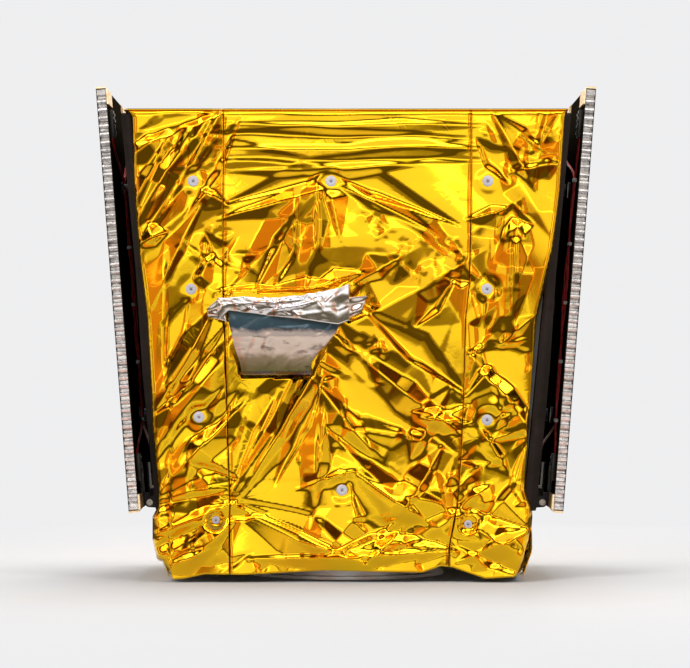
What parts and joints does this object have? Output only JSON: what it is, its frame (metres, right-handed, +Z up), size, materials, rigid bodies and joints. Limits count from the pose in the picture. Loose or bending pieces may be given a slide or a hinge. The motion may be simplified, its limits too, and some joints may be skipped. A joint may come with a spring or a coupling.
{
  "type": "small satellite with hinged solar wings",
  "caption": "Box satellite wrapped in crinkled gold film, with a silver-wrapped sensor and two honeycomb solar wings hinged at their lower edges.",
  "frame": {"origin": "on the floor, at the centre of the separation ring's lower face", "axes": "+Z up, +X to the right as seen from the sensor side, the sensor side faces -Y"},
  "size_m": [1.0074, 0.6175, 0.9949],
  "materials": {
    "gold_film": "gloss",
    "black_film": "satin",
    "silver_film": "gloss",
    "button": "satin",
    "wall_panel": "satin",
    "equipment": "matte",
    "machined_metal": "satin",
    "dark_metal": "satin",
    "pin_steel": "satin",
    "honeycomb": "gloss",
    "carbon_skin": "gloss",
    "solar_cell": "gloss",
    "cream_plastic": "satin",
    "red_wire": "gloss"
  },
  "bodies": {
    "bus": {"ring_lower_flange": "machined_metal", "ring_wall": "machined_metal", "ring_upper_flange": "machined_metal", "base_plate": "machined_metal", "top_deck": "wall_panel", "front_wall": "wall_panel", "rear_wall": "wall_panel", "left_wall": "wall_panel", "right_wall": "wall_panel", "equipment_block": "equipment", "front_blanket_left": "gold_film", "front_blanket_centre": "gold_film", "front_blanket_right": "gold_film", "rear_blanket_left": "gold_film", "rear_blanket_centre": "gold_film", "rear_blanket_right": "gold_film", "top_blanket": "gold_film", "left_side_blanket": "black_film", "right_side_blanket": "black_film", "left_skirt": "gold_film", "right_skirt": "gold_film", "blanket_buttons": "button", "sensor_housing": "silver_film", "sensor_collar": "silver_film", "left_hinge_brackets": "machined_metal", "left_hinge_pins": "pin_steel", "left_hold_down_posts": "dark_metal", "right_hinge_brackets": "machined_metal", "right_hinge_pins": "pin_steel", "right_hold_down_posts": "dark_metal"},
    "left_wing": {"left_wing_core": "honeycomb", "left_wing_inner_skin": "carbon_skin", "left_wing_outer_skin": "carbon_skin", "left_solar_cells": "solar_cell", "left_top_brackets": "cream_plastic", "left_bottom_brackets": "cream_plastic", "left_hinge_leaves": "machined_metal", "left_hold_down_cups": "dark_metal", "left_wing_harness": "red_wire", "left_terminal_blocks": "cream_plastic"},
    "right_wing": {"right_wing_core": "honeycomb", "right_wing_inner_skin": "carbon_skin", "right_wing_outer_skin": "carbon_skin", "right_solar_cells": "solar_cell", "right_top_brackets": "cream_plastic", "right_bottom_brackets": "cream_plastic", "right_hinge_leaves": "machined_metal", "right_hold_down_cups": "dark_metal", "right_wing_harness": "red_wire", "right_terminal_blocks": "cream_plastic"}
  },
  "joints": [
    {"name": "left_wing_hinge", "type": "hinge", "parent": "bus", "child": "left_wing", "pos_m": [-0.40196, 0, 0.153], "axis": [0, -1, 0], "range_deg": [0, 85.5]},
    {"name": "right_wing_hinge", "type": "hinge", "parent": "bus", "child": "right_wing", "pos_m": [0.40196, 0, 0.153], "axis": [0, 1, 0], "range_deg": [0, 85.5]}
  ]
}
